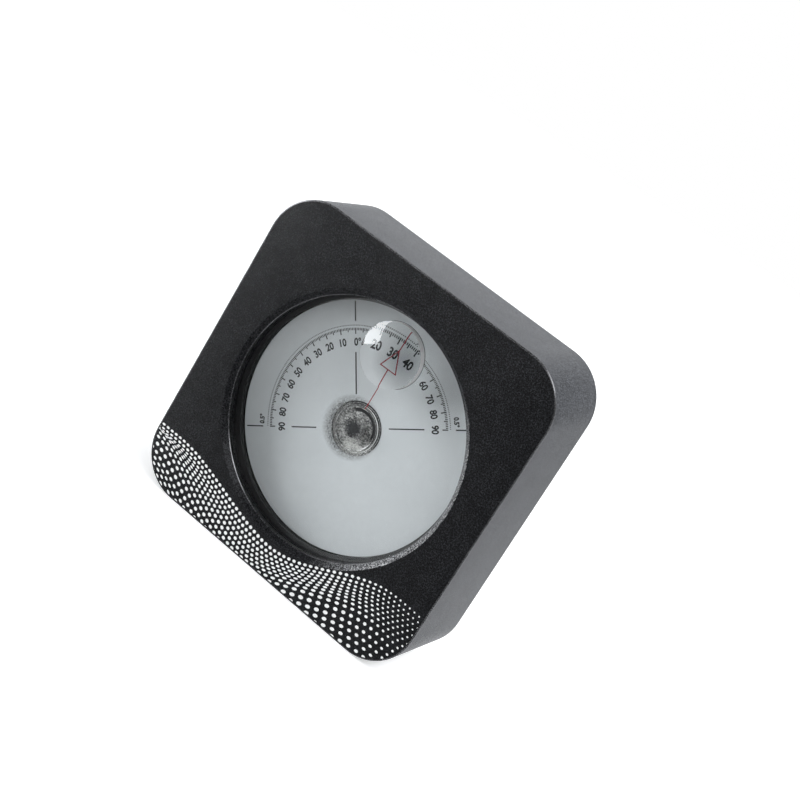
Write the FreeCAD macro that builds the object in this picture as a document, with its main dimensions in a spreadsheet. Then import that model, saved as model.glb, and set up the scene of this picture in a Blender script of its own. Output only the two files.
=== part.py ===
import FreeCAD, Part
import Sketcher
import math
import os
from FreeCAD import Placement, Rotation, Vector

# Square pocket inclinometer with a gravity dial in a sealed capsule.
# Frame: +Z up, +X to the right as the dial is read, the dial faces -Y.
# The origin is at the middle of the base, so the body stands on Z = 0.
# "depth" below is the distance from the front face, towards +Y.

doc = FreeCAD.newDocument("Inclinometer")

# ---------------------------------------------------------------- sizes
SIZES = [
    ("body_side", 80.0, "side of the square body"),
    ("body_depth", 24.4, "front face to back face"),
    ("body_corner", 12.0, "corner radius"),
    ("body_edge", 0.35, "chamfer on the outer edges"),
    ("window_rad", 29.9, "window bore radius"),
    ("lip_chamfer", 1.2, "chamfer round the window"),
    ("lip_depth", 3.9, "front face to the capsule seat"),
    ("line_depth", 2.5, "turned line in the window bore"),
    ("line_width", 0.25, "its width"),
    ("line_cut", 0.2, "its cut"),
    ("pocket_rad", 31.8, "capsule pocket radius"),
    ("recess_side", 72.0, "square recess for the rear cover"),
    ("recess_corner", 8.0, "its corner radius"),
    ("recess_depth", 2.6, "its depth"),
    ("screw_offset", 29.5, "screw axis from the middle, both ways"),
    ("tapped_rad", 1.5, "M3 hole, drawn at thread size"),
    ("tapped_depth", 7.5, "its depth below the recess"),
    ("cover_play", 0.2, "gap round the rear cover"),
    ("clear_rad", 1.65, "screw hole in the rear cover"),
    ("sink_cut", 1.35, "countersink"),
    ("screw_rad", 1.48, "screw shank radius"),
    ("screw_head_rad", 2.85, "screw head radius"),
    ("screw_head_len", 1.37, "screw head height"),
    ("screw_sunk", 0.1, "head below the cover's face"),
    ("screw_len", 8.5, "overall length"),
    ("socket_rad", 1.15, "hexagon socket, across corners / 2"),
    ("socket_depth", 1.2, "its depth"),
    ("flange_rad", 31.6, "clear cover: flange radius"),
    ("flange_thick", 0.9, "clear cover: flange thickness"),
    ("plug_rad", 28.8, "clear cover: plug radius"),
    ("plug_depth", 3.4, "clear cover: front to inner face"),
    ("boss_rad", 5.1, "clear cover: middle boss radius"),
    ("boss_depth", 5.9, "clear cover: front to the boss end"),
    ("bush_rad", 2.1, "front bearing bush radius"),
    ("bush_len", 2.7, "its length"),
    ("jewel_rad", 1.1, "jewel radius"),
    ("jewel_len", 1.2, "jewel thickness"),
    ("jewel_bore", 0.33, "jewel blind hole radius"),
    ("jewel_bore_len", 1.05, "its depth"),
    ("gasket_bore", 28.85, "cover gasket inner radius"),
    ("gasket_thick", 1.3, "cover gasket thickness"),
    ("lens_rad", 7.55, "magnifier radius"),
    ("lens_up", 20.05, "magnifier axis above the dial axis"),
    ("lens_rim", 1.75, "front face to the magnifier's rim"),
    ("lens_dome", 17.5, "radius of its dome"),
    ("mark_width", 0.2, "index line width"),
    ("mark_thick", 0.12, "index inlay thickness"),
    ("mark_start", 5.35, "index line start from the dial axis"),
    ("mark_base", 16.68, "triangle base"),
    ("mark_half", 1.93, "triangle half width"),
    ("mark_apex", 21.2, "triangle apex"),
    ("mark_end", 25.1, "index line end"),
    ("base_rad", 31.7, "capsule base radius"),
    ("cavity_rad", 29.7, "capsule cavity radius"),
    ("base_front", 6.1, "depth of the base's rim"),
    ("floor_front", 15.2, "depth of the floor's front"),
    ("floor_back", 16.9, "depth of the floor's back"),
    ("seat_depth", 18.3, "depth of the diaphragm seat"),
    ("base_back", 20.4, "depth of the base's back"),
    ("chamber_rad", 21.5, "rear chamber radius"),
    ("seat_rad", 24.0, "diaphragm seat radius"),
    ("hub_hole_rad", 2.5, "rear bearing screw radius"),
    ("floor_boss_rad", 5.0, "floor boss radius"),
    ("floor_boss_back", 18.0, "depth of the floor boss end"),
    ("port_rad", 1.2, "liquid port radius"),
    ("port_circle", 12.0, "ports' pitch radius"),
    ("fill_circle", 27.4, "filler axis from the middle"),
    ("fill_rad", 1.5, "filler hole radius"),
    ("fill_sink_rad", 2.9, "filler counterbore radius"),
    ("fill_sink_depth", 2.1, "its depth"),
    ("fill_head_rad", 2.7, "filler plug head radius"),
    ("fill_head_len", 1.5, "its height"),
    ("fill_shank_rad", 1.48, "filler plug shank radius"),
    ("fill_shank_len", 3.0, "its length"),
    ("washer_bore", 1.55, "filler washer bore radius"),
    ("washer_thick", 0.4, "its thickness"),
    ("slot_width", 0.8, "screwdriver slots"),
    ("slot_depth", 0.8, "their depth"),
    ("membrane_rad", 23.8, "diaphragm radius"),
    ("membrane_thick", 0.6, "diaphragm thickness"),
    ("fold_inner", 10.0, "diaphragm fold, inner radius"),
    ("fold_outer", 17.5, "diaphragm fold, outer radius"),
    ("fold_slope", 1.5, "width of the fold's slopes"),
    ("fold_rise", 0.7, "fold height"),
    ("ring_thick", 1.5, "diaphragm ring thickness"),
    ("cushion_bore", 25.0, "cushion inner radius"),
    ("cushion_rad", 31.4, "cushion outer radius"),
    ("bearing_front", 14.7, "depth of the rear bearing screw's front"),
    ("dial_front", 9.7, "depth of the dial's printed face"),
    ("dial_rad", 29.1, "dial radius"),
    ("dial_thick", 0.5, "dial thickness"),
    ("dial_hole", 6.2, "dial middle hole radius"),
    ("dial_turn", 34.8, "dial turned in the body, degrees"),
    ("plate_rad", 9.5, "hub plate radius"),
    ("plate_thick", 0.8, "hub plate thickness"),
    ("sleeve_rad", 2.0, "hub sleeve radius"),
    ("sleeve_len", 3.0, "hub sleeve length"),
    ("arbor_rad", 0.75, "arbor radius"),
    ("arbor_bore", 0.76, "hub bore radius"),
    ("arbor_front", 10.15, "depth of the arbor's front shoulder"),
    ("arbor_back", 14.4, "depth of the arbor's rear shoulder"),
    ("pivot_rad", 0.3, "pivot radius"),
    ("pivot_front", 8.85, "depth of the front pivot tip"),
    ("pivot_back", 15.65, "depth of the rear pivot tip"),
    ("weight_inner", 13.0, "weight inner radius"),
    ("weight_outer", 27.5, "weight outer radius"),
    ("weight_thick", 3.0, "weight thickness"),
    ("weight_sweep", 110.0, "weight sector angle, degrees"),
]

sheet = doc.addObject("Spreadsheet::Sheet", "Sizes")
sheet.set("A1", "what")
sheet.set("B1", "mm or degrees")
for row, (alias, number, words) in enumerate(SIZES, start=2):
    sheet.set("A%d" % row, words)
    sheet.set("B%d" % row, repr(number))
    sheet.setAlias("B%d" % row, alias)
doc.recompute()


class Size:
    """A number together with the sheet expression that it comes from."""

    def __init__(self, number, text):
        self.number, self.text = number, text

    def __add__(self, other):
        other = size(other)
        return Size(self.number + other.number, "(%s + %s)" % (self.text, other.text))

    def __sub__(self, other):
        other = size(other)
        return Size(self.number - other.number, "(%s - %s)" % (self.text, other.text))

    def __mul__(self, other):
        other = size(other)
        return Size(self.number * other.number, "%s * %s" % (self.text, other.text))

    def __truediv__(self, other):
        other = size(other)
        return Size(self.number / other.number, "%s / %s" % (self.text, other.text))


def size(value):
    return value if isinstance(value, Size) else Size(float(value), "%g" % value)


def cell(alias):
    return Size(float(sheet.get(alias)), "Sizes." + alias)


V = {alias: cell(alias) for alias, number, words in SIZES}
MID_UP = V["body_side"] / 2


def bind(obj, path, value):
    obj.setExpression(path, size(value).text)


def place(obj, depth, up=None, across=None):
    """Put a piece's own origin on the given depth, on the dial's axis."""
    up = MID_UP if up is None else up
    across = size(0) if across is None else across
    y = size(depth) - V["body_depth"] / 2
    obj.Placement = Placement(Vector(across.number, y.number, up.number), Rotation())
    if across.text != "0":
        bind(obj, "Placement.Base.x", across)
    bind(obj, "Placement.Base.y", y)
    bind(obj, "Placement.Base.z", up)


def new_body(label, depth, up=None, across=None):
    body = doc.addObject("PartDesign::Body", label)
    body.Label = label
    place(body, depth, up, across)
    return body


def origin_of(body, role):
    for feature in body.Origin.OriginFeatures:
        if feature.Role == role:
            return feature
    raise ValueError(role)


def new_sketch(body, name, role, offset=None):
    sketch = body.newObject("Sketcher::SketchObject", name)
    sketch.AttachmentSupport = [(origin_of(body, role), "")]
    sketch.MapMode = "FlatFace"
    if offset is not None:
        offset = size(offset)
        sketch.AttachmentOffset = Placement(Vector(0, 0, offset.number), Rotation())
        bind(sketch, "AttachmentOffset.Base.z", offset)
    return sketch


def fix_point(sketch, geo, end, x, y):
    """Tie one end of a line, or a centre, to its distances from the origin."""
    for kind, value, axis in (("DistanceX", size(x), -2), ("DistanceY", size(y), -1)):
        if abs(value.number) < 1e-9:
            sketch.addConstraint(Sketcher.Constraint("PointOnObject", geo, end, axis))
        elif value.number < 0:
            n = sketch.addConstraint(
                Sketcher.Constraint(kind, geo, end, -1, 1, -value.number))
            bind(sketch, "Constraints[%d]" % n, size(0) - value)
        else:
            n = sketch.addConstraint(
                Sketcher.Constraint(kind, -1, 1, geo, end, value.number))
            bind(sketch, "Constraints[%d]" % n, value)


def draw_loop(sketch, points):
    """Closed outline of straight lines through points given as sizes."""
    points = [(size(x), size(y)) for x, y in points]
    count = len(points)
    first = sketch.GeometryCount
    for k in range(count):
        a, b = points[k], points[(k + 1) % count]
        sketch.addGeometry(Part.LineSegment(
            Vector(a[0].number, a[1].number, 0), Vector(b[0].number, b[1].number, 0)), False)
    for k in range(count):
        sketch.addConstraint(Sketcher.Constraint(
            "Coincident", first + k, 2, first + (k + 1) % count, 1))
    for k in range(count):
        fix_point(sketch, first + k, 1, *points[k])


def draw_circle(sketch, x, y, rad):
    x, y, rad = size(x), size(y), size(rad)
    geo = sketch.addGeometry(
        Part.Circle(Vector(x.number, y.number, 0), Vector(0, 0, 1), rad.number), False)
    fix_point(sketch, geo, 3, x, y)
    n = sketch.addConstraint(Sketcher.Constraint("Radius", geo, rad.number))
    bind(sketch, "Constraints[%d]" % n, rad)


def turned(body, name, points, kind="PartDesign::Revolution"):
    """Turn an outline of (radius, depth) points about the piece's Y axis."""
    sketch = new_sketch(body, name + "_profile", "XY_Plane")
    draw_loop(sketch, points)
    feature = body.newObject(kind, name)
    feature.Profile = sketch
    feature.ReferenceAxis = (sketch, ["V_Axis"])
    feature.Angle = 360.0
    return feature


def pad_back(body, name, sketch, length):
    """Pad towards +Y."""
    feature = body.newObject("PartDesign::Pad", name)
    feature.Profile = sketch
    feature.Reversed = True
    feature.Length = size(length).number
    bind(feature, "Length", length)
    return feature


def cut(body, name, sketch, length, forward=False):
    """Pocket towards +Y, or towards -Y if forward."""
    doc.recompute()
    before = body.Shape.Volume
    feature = body.newObject("PartDesign::Pocket", name)
    feature.Profile = sketch
    feature.Reversed = forward
    feature.Length = size(length).number
    bind(feature, "Length", length)
    doc.recompute()
    if body.Shape.Volume > before - 1e-4:
        raise RuntimeError(name + " cut nothing")
    return feature


def around(body, name, feature, count):
    """Repeat a feature evenly about the piece's Y axis."""
    pattern = body.newObject("PartDesign::PolarPattern", name)
    pattern.Originals = [feature]
    pattern.Axis = (origin_of(body, "Y_Axis"), [""])
    pattern.Angle = 360.0
    pattern.Occurrences = count
    body.Tip = pattern
    doc.recompute()
    return pattern


def edges_where(feature, test):
    return ["Edge%d" % (k + 1) for k, e in enumerate(feature.Shape.Edges) if test(e)]


def dress(body, kind, name, feature, test, path, value):
    """Fillet or chamfer the edges of a feature that pass the test."""
    doc.recompute()
    names = edges_where(feature, test)
    if not names:
        raise RuntimeError(name + " found no edge")
    new = body.newObject(kind, name)
    new.Base = (feature, names)
    setattr(new, path, size(value).number)
    bind(new, path, value)
    doc.recompute()
    return new


def along_y(edge):
    a, b = edge.Vertexes[0].Point, edge.Vertexes[-1].Point
    return abs(a.x - b.x) < 1e-4 and abs(a.z - b.z) < 1e-4 and abs(a.y - b.y) > 0.1


def at_depth(y):
    return lambda e: all(abs(p.y - y) < 1e-4 for p in e.discretize(5))


def is_circle(edge, rad, y):
    c = edge.Curve
    return (isinstance(c, Part.Circle) and abs(c.Radius - rad) < 1e-4
            and at_depth(y)(edge))


def square(sketch, half):
    zero = size(0)
    draw_loop(sketch, [(zero - half, zero - half), (half, zero - half),
                       (half, half), (zero - half, half)])


# ---------------------------------------------------------------- body
# One block with a stepped round opening: window, seat for the capsule,
# wider pocket behind it and a square recess for the rear cover.
body = new_body("body_frame", 0)
sk = new_sketch(body, "outline", "XZ_Plane")
square(sk, V["body_side"] / 2)
block = pad_back(body, "block", sk, V["body_depth"])
corners = dress(body, "PartDesign::Fillet", "corners", block, along_y,
                "Radius", V["body_corner"])
depth_mm = V["body_depth"].number
edges = dress(body, "PartDesign::Chamfer", "edges", corners,
              lambda e: at_depth(0)(e) or at_depth(depth_mm)(e), "Size", V["body_edge"])
sk = new_sketch(body, "window_outline", "XZ_Plane")
draw_circle(sk, 0, 0, V["window_rad"])
window = cut(body, "window", sk, V["lip_depth"] + 1)
lip = dress(body, "PartDesign::Chamfer", "lip", window,
            lambda e: is_circle(e, V["window_rad"].number, 0.0), "Size", V["lip_chamfer"])
sk = new_sketch(body, "pocket_outline", "XZ_Plane", size(0) - V["body_depth"])
draw_circle(sk, 0, 0, V["pocket_rad"])
cut(body, "capsule_pocket", sk, V["body_depth"] - V["lip_depth"], forward=True)
sk = new_sketch(body, "recess_outline", "XZ_Plane", size(0) - V["body_depth"])
square(sk, V["recess_side"] / 2)
recess = cut(body, "recess", sk, V["recess_depth"], forward=True)
half = V["recess_side"].number / 2
dress(body, "PartDesign::Fillet", "recess_corners", recess,
      lambda e: along_y(e) and abs(abs(e.Vertexes[0].X) - half) < 1e-3
      and abs(abs(e.Vertexes[0].Z) - half) < 1e-3, "Radius", V["recess_corner"])
sk = new_sketch(body, "tapped_outline", "XZ_Plane",
                V["recess_depth"] - V["body_depth"])
draw_circle(sk, V["screw_offset"], V["screw_offset"], V["tapped_rad"])
hole = cut(body, "tapped_hole", sk, V["tapped_depth"], forward=True)
around(body, "tapped_holes", hole, 4)
before = body.Shape.Volume
turned(body, "bore_line", [
    (V["window_rad"] - 0.1, V["line_depth"]),
    (V["window_rad"] + V["line_cut"], V["line_depth"]),
    (V["window_rad"] + V["line_cut"], V["line_depth"] + V["line_width"]),
    (V["window_rad"] - 0.1, V["line_depth"] + V["line_width"])], "PartDesign::Groove")
doc.recompute()
if body.Shape.Volume > before - 1:
    raise RuntimeError("bore_line cut nothing")

# ---------------------------------------------------------------- rear cover
cover_half = V["recess_side"] / 2 - V["cover_play"]
cover = new_body("rear_cover", V["body_depth"] - V["recess_depth"])
sk = new_sketch(cover, "cover_outline", "XZ_Plane")
square(sk, cover_half)
plate = pad_back(cover, "plate", sk, V["recess_depth"])
round_off = dress(cover, "PartDesign::Fillet", "plate_corners", plate, along_y,
                  "Radius", V["recess_corner"] - V["cover_play"])
thick_mm = V["recess_depth"].number
rim = dress(cover, "PartDesign::Chamfer", "plate_edge", round_off, at_depth(thick_mm),
            "Size", V["body_edge"])
sk = new_sketch(cover, "clear_outline", "XZ_Plane")
draw_circle(sk, V["screw_offset"], V["screw_offset"], V["clear_rad"])
hole = cut(cover, "clear_hole", sk, V["recess_depth"] + 1)
holes = around(cover, "clear_holes", hole, 4)
dress(cover, "PartDesign::Chamfer", "countersinks", holes,
      lambda e: is_circle(e, V["clear_rad"].number, thick_mm), "Size", V["sink_cut"])

# Four countersunk screws with hexagon sockets, one node.
screws = []
for k, (sx, sz) in enumerate(((1, 1), (-1, 1), (-1, -1), (1, -1)), start=1):
    axis_x = V["screw_offset"] * sx
    axis_z = MID_UP + V["screw_offset"] * sz
    head_y = V["body_depth"] / 2 - V["screw_sunk"]
    shank = doc.addObject("Part::Cylinder", "shank_%d" % k)
    head = doc.addObject("Part::Cone", "head_%d" % k)
    socket = doc.addObject("Part::Prism", "socket_%d" % k)
    for obj, back in ((shank, V["screw_len"]), (head, V["screw_head_len"]),
                      (socket, V["socket_depth"])):
        obj.Placement = Placement(Vector(), Rotation(Vector(1, 0, 0), -90))
        bind(obj, "Placement.Base.x", axis_x)
        bind(obj, "Placement.Base.y", head_y - back)
        bind(obj, "Placement.Base.z", axis_z)
    bind(shank, "Radius", V["screw_rad"])
    bind(shank, "Height", V["screw_len"] - V["screw_head_len"] / 2)
    bind(head, "Radius1", V["screw_rad"])
    bind(head, "Radius2", V["screw_head_rad"])
    bind(head, "Height", V["screw_head_len"])
    socket.Polygon = 6
    bind(socket, "Circumradius", V["socket_rad"])
    bind(socket, "Height", V["socket_depth"] + 0.5)
    whole = doc.addObject("Part::Fuse", "blank_%d" % k)
    whole.Base, whole.Tool = shank, head
    screw = doc.addObject("Part::Cut", "screw_%d" % k)
    screw.Base, screw.Tool = whole, socket
    screws.append(screw)
fasteners = doc.addObject("Part::Compound", "rear_cover_screws")
fasteners.Label = "rear_cover_screws"
fasteners.Links = screws

# ---------------------------------------------------------------- capsule
# Clear cover: flange on the gasket, plug reaching into the capsule, and a
# middle boss that holds the front bearing.
clear = new_body("capsule_cover", V["lip_depth"])
turned(clear, "cover_turned", [
    (0, 0), (V["flange_rad"], 0), (V["flange_rad"], V["flange_thick"]),
    (V["plug_rad"], V["flange_thick"]), (V["plug_rad"], V["plug_depth"]),
    (V["boss_rad"], V["plug_depth"]), (V["boss_rad"], V["boss_depth"]),
    (V["bush_rad"], V["boss_depth"]), (V["bush_rad"], V["boss_depth"] - V["bush_len"]),
    (0, V["boss_depth"] - V["bush_len"])])


def mark_outlines(body, offset):
    """Sketches of the index: stem, open triangle and upper line."""
    w, zero = V["mark_width"] / 2, size(0)
    stem = new_sketch(body, "stem_outline", "XZ_Plane", offset)
    draw_loop(stem, [(zero - w, V["mark_start"]), (w, V["mark_start"]),
                     (w, V["mark_base"] + w), (zero - w, V["mark_base"] + w)])
    tri = new_sketch(body, "triangle_outline", "XZ_Plane", offset)
    draw_loop(tri, [(zero - V["mark_half"], V["mark_base"]), (V["mark_half"], V["mark_base"]),
                    (zero, V["mark_apex"])])
    # the inner outline lies one line width inside the outer one
    rise = V["mark_apex"].number - V["mark_base"].number
    slant = math.hypot(rise, V["mark_half"].number)
    drop = V["mark_width"] * (slant / V["mark_half"].number)
    side = V["mark_width"] * ((slant + V["mark_half"].number) / rise)
    draw_loop(tri, [(side - V["mark_half"], V["mark_base"] + V["mark_width"]),
                    (V["mark_half"] - side, V["mark_base"] + V["mark_width"]),
                    (zero, V["mark_apex"] - drop)])
    top = new_sketch(body, "tip_outline", "XZ_Plane", offset)
    draw_loop(top, [(zero - w, V["mark_apex"] - V["mark_width"] * 3),
                    (w, V["mark_apex"] - V["mark_width"] * 3),
                    (w, V["mark_end"]), (zero - w, V["mark_end"])])
    return stem, tri, top


groove_at = V["mark_thick"] - V["plug_depth"]
for name, sk in zip(("stem_groove", "triangle_groove", "tip_groove"),
                    mark_outlines(clear, groove_at)):
    cut(clear, name, sk, V["mark_thick"])

# Index: thin red inlay in the groove of the clear cover.
mark = new_body("index_mark", V["lip_depth"] + V["plug_depth"] - V["mark_thick"])
for name, sk in zip(("stem", "triangle", "tip"), mark_outlines(mark, None)):
    pad_back(mark, name, sk, V["mark_thick"])

# Magnifier: low clear cylinder with a domed front, bonded to the cover.
lens = new_body("magnifier_lens", V["lens_rim"], up=MID_UP + V["lens_up"])
sk = new_sketch(lens, "lens_profile", "XY_Plane")
rad, dome = V["lens_rad"].number, V["lens_dome"].number
foot = V["lip_depth"] - V["lens_rim"]
reach = math.sqrt(dome * dome - rad * rad)
crest = reach - dome
sk.addGeometry(Part.LineSegment(Vector(0, crest, 0), Vector(0, foot.number, 0)), False)
sk.addGeometry(Part.LineSegment(Vector(0, foot.number, 0), Vector(rad, foot.number, 0)), False)
sk.addGeometry(Part.LineSegment(Vector(rad, foot.number, 0), Vector(rad, 0, 0)), False)
sk.addGeometry(Part.ArcOfCircle(
    Part.Circle(Vector(0, reach, 0), Vector(0, 0, 1), dome),
    -math.pi / 2, math.atan2(-reach, rad)), False)
for a, ea, b, eb in ((0, 2, 1, 1), (1, 2, 2, 1), (2, 2, 3, 2), (3, 1, 0, 1)):
    sk.addConstraint(Sketcher.Constraint("Coincident", a, ea, b, eb))
fix_point(sk, 1, 1, 0, foot)
fix_point(sk, 1, 2, V["lens_rad"], foot)
fix_point(sk, 2, 2, V["lens_rad"], 0)
sk.addConstraint(Sketcher.Constraint("PointOnObject", 0, 1, -2))
sk.addConstraint(Sketcher.Constraint("PointOnObject", 3, 3, -2))
n = sk.addConstraint(Sketcher.Constraint("Radius", 3, dome))
bind(sk, "Constraints[%d]" % n, V["lens_dome"])
turn = lens.newObject("PartDesign::Revolution", "lens_turned")
turn.Profile = sk
turn.ReferenceAxis = (sk, ["V_Axis"])
turn.Angle = 360.0

# Front bearing: bush pressed into the boss, jewel pressed into the bush.
bush = new_body("front_bearing_bush", V["lip_depth"] + V["boss_depth"] - V["bush_len"])
turned(bush, "bush_turned", [
    (0, 0), (V["bush_rad"], 0), (V["bush_rad"], V["bush_len"]),
    (V["jewel_rad"], V["bush_len"]), (V["jewel_rad"], V["bush_len"] - V["jewel_len"]),
    (0, V["bush_len"] - V["jewel_len"])])
jewel = new_body("front_jewel", V["lip_depth"] + V["boss_depth"] - V["jewel_len"])
turned(jewel, "jewel_turned", [
    (0, 0), (V["jewel_rad"], 0), (V["jewel_rad"], V["jewel_len"]),
    (V["jewel_bore"], V["jewel_len"]),
    (V["jewel_bore"], V["jewel_len"] - V["jewel_bore_len"]),
    (0, V["jewel_len"] - V["jewel_bore_len"])])

# Black sealing ring between the cover's flange and the base's rim.
gasket = new_body("cover_gasket", V["lip_depth"] + V["flange_thick"])
turned(gasket, "gasket_turned", [
    (V["gasket_bore"], 0), (V["flange_rad"], 0), (V["flange_rad"], V["gasket_thick"]),
    (V["gasket_bore"], V["gasket_thick"])])

# Base: cup with a bearing boss, liquid ports, a rear chamber closed by the
# diaphragm, and a filling hole.
front = V["base_front"]
base = new_body("capsule_base", front)
turned(base, "base_turned", [
    (V["cavity_rad"], 0), (V["base_rad"], 0), (V["base_rad"], V["base_back"] - front),
    (V["seat_rad"], V["base_back"] - front), (V["seat_rad"], V["seat_depth"] - front),
    (V["chamber_rad"], V["seat_depth"] - front), (V["chamber_rad"], V["floor_back"] - front),
    (V["floor_boss_rad"], V["floor_back"] - front),
    (V["floor_boss_rad"], V["floor_boss_back"] - front),
    (V["hub_hole_rad"], V["floor_boss_back"] - front),
    (V["hub_hole_rad"], V["floor_front"] - front),
    (V["cavity_rad"], V["floor_front"] - front)])
sk = new_sketch(base, "port_outline", "XZ_Plane", front - V["floor_front"] + 0.2)
draw_circle(sk, 0, V["port_circle"], V["port_rad"])
port = cut(base, "port", sk, V["floor_back"] - V["floor_front"] + 0.4)
around(base, "ports", port, 4)
fill_at = V["fill_circle"] * 0.7071068
zero = size(0)
sk = new_sketch(base, "fill_outline", "XZ_Plane", front - V["base_back"])
draw_circle(sk, fill_at, zero - fill_at, V["fill_rad"])
cut(base, "fill_hole", sk, V["base_back"] - V["floor_front"] + 1, forward=True)
sk = new_sketch(base, "fill_sink_outline", "XZ_Plane", front - V["base_back"])
draw_circle(sk, fill_at, zero - fill_at, V["fill_sink_rad"])
cut(base, "fill_sink", sk, V["fill_sink_depth"], forward=True)

washer_at = V["base_back"] - V["fill_sink_depth"]
washer = new_body("filler_washer", washer_at, MID_UP - fill_at, fill_at)
turned(washer, "washer_turned", [
    (V["washer_bore"], 0), (V["fill_head_rad"], 0),
    (V["fill_head_rad"], V["washer_thick"]), (V["washer_bore"], V["washer_thick"])])
plug = new_body("filler_plug", washer_at + V["washer_thick"] - V["fill_shank_len"],
                MID_UP - fill_at, fill_at)
turned(plug, "plug_turned", [
    (0, 0), (V["fill_shank_rad"], 0), (V["fill_shank_rad"], V["fill_shank_len"]),
    (V["fill_head_rad"], V["fill_shank_len"]),
    (V["fill_head_rad"], V["fill_shank_len"] + V["fill_head_len"]),
    (0, V["fill_shank_len"] + V["fill_head_len"])])


def slot(body, name, back, half):
    """Screwdriver slot across the rear end."""
    w = V["slot_width"] / 2
    outline = new_sketch(body, name + "_outline", "XZ_Plane", size(0) - back)
    draw_loop(outline, [(zero - half, zero - w), (half, zero - w),
                        (half, w), (zero - half, w)])
    cut(body, name, outline, V["slot_depth"], forward=True)


slot(plug, "plug_slot", V["fill_shank_len"] + V["fill_head_len"], V["fill_head_rad"] + 0.5)

# Rear bearing: slotted screw in the floor boss, jewel in its front end.
bearing_len = V["floor_boss_back"] - V["bearing_front"]
bearing = new_body("rear_bearing_screw", V["bearing_front"])
turned(bearing, "bearing_turned", [
    (V["jewel_rad"], 0), (V["hub_hole_rad"] - 0.02, 0),
    (V["hub_hole_rad"] - 0.02, bearing_len), (0, bearing_len),
    (0, V["jewel_len"]), (V["jewel_rad"], V["jewel_len"])])
slot(bearing, "bearing_slot", bearing_len, V["hub_hole_rad"] + 0.5)
jewel = new_body("rear_jewel", V["bearing_front"])
turned(jewel, "jewel_turned_rear", [
    (V["jewel_bore"], 0), (V["jewel_rad"], 0), (V["jewel_rad"], V["jewel_len"]),
    (0, V["jewel_len"]), (0, V["jewel_bore_len"]), (V["jewel_bore"], V["jewel_bore_len"])])

# Diaphragm with one rolled fold, and the ring that clamps its edge.
rise, skin = V["fold_rise"], V["membrane_thick"]
inner, outer, slope = V["fold_inner"], V["fold_outer"], V["fold_slope"]
membrane = new_body("expansion_diaphragm", V["seat_depth"])
turned(membrane, "membrane_turned", [
    (0, 0), (inner, 0), (inner + slope, rise), (outer - slope, rise), (outer, 0),
    (V["membrane_rad"], 0), (V["membrane_rad"], skin), (outer, skin),
    (outer - slope, rise + skin), (inner + slope, rise + skin), (inner, skin), (0, skin)])
ring = new_body("diaphragm_ring", V["seat_depth"] + skin)
turned(ring, "ring_turned", [
    (V["chamber_rad"], 0), (V["membrane_rad"], 0), (V["membrane_rad"], V["ring_thick"]),
    (V["chamber_rad"], V["ring_thick"])])

# Soft ring that presses the capsule forward on its seat.
cushion_thick = V["body_depth"] - V["recess_depth"] - V["base_back"]
cushion = new_body("capsule_cushion", V["base_back"])
turned(cushion, "cushion_turned", [
    (V["cushion_bore"], 0), (V["cushion_rad"], 0), (V["cushion_rad"], cushion_thick),
    (V["cushion_bore"], cushion_thick)])

# ---------------------------------------------------------------- dial
# The dial turns freely about the Y axis through the window's middle. Its
# zero is dial_turn degrees to the left of the body's own upright.


def turn_dial(obj, degrees):
    obj.Placement.Rotation = Rotation(Vector(0, 1, 0), degrees.number)
    bind(obj, "Placement.Rotation.Angle", degrees)


dial = new_body("dial_disc", V["dial_front"])
turn_dial(dial, zero - V["dial_turn"])
turned(dial, "disc_turned", [
    (V["dial_hole"], 0), (V["dial_rad"], 0), (V["dial_rad"], V["dial_thick"]),
    (V["dial_hole"], V["dial_thick"])])

behind = V["dial_front"] + V["dial_thick"]
hub = new_body("dial_hub", behind)
turn_dial(hub, zero - V["dial_turn"])
turned(hub, "hub_turned", [
    (V["arbor_bore"], 0), (V["plate_rad"], 0), (V["plate_rad"], V["plate_thick"]),
    (V["sleeve_rad"], V["plate_thick"]),
    (V["sleeve_rad"], V["plate_thick"] + V["sleeve_len"]),
    (V["arbor_bore"], V["plate_thick"] + V["sleeve_len"])])

tip = V["pivot_front"]
arbor = new_body("dial_arbor", tip)
turned(arbor, "arbor_turned", [
    (0, 0), (V["pivot_rad"], 0), (V["pivot_rad"], V["arbor_front"] - tip),
    (V["arbor_rad"], V["arbor_front"] - tip), (V["arbor_rad"], V["arbor_back"] - tip),
    (V["pivot_rad"], V["arbor_back"] - tip), (V["pivot_rad"], V["pivot_back"] - tip),
    (0, V["pivot_back"] - tip)])

weight = new_body("dial_weight", behind)
turn_dial(weight, size(90) - V["dial_turn"])
sector = turned(weight, "sector", [
    (V["weight_inner"], 0), (V["weight_outer"], 0),
    (V["weight_outer"], V["weight_thick"]), (V["weight_inner"], V["weight_thick"])])
sector.Angle = V["weight_sweep"].number
bind(sector, "Angle", V["weight_sweep"])
sector.Midplane = True

# ---------------------------------------------------------------- write
doc.recompute()
for obj in doc.Objects:
    if "Invalid" in obj.State or "Error" in obj.State:
        raise RuntimeError("%s: %s" % (obj.Name, obj.State))
pieces = [o for o in doc.Objects if o.TypeId == "PartDesign::Body"] + [fasteners]
names = [o.Label for o in pieces]
if len(set(names)) != len(names):
    raise RuntimeError("two pieces share a name")
for obj in pieces:
    shape = obj.Shape
    if shape.isNull() or not shape.isValid() or not shape.Solids:
        raise RuntimeError(obj.Label + " has no sound shape")
os.makedirs("parts", exist_ok=True)
for obj in pieces:
    obj.Shape.exportStep("parts/%s.step" % obj.Label)
    box = obj.Shape.BoundBox
    print("%-22s solids %d  volume %10.2f  y %.2f..%.2f  z %.2f..%.2f" % (
        obj.Label, len(obj.Shape.Solids), obj.Shape.Volume,
        box.YMin, box.YMax, box.ZMin, box.ZMax))
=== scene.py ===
import math

import bmesh
import bpy
from mathutils import Matrix, Vector


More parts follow.
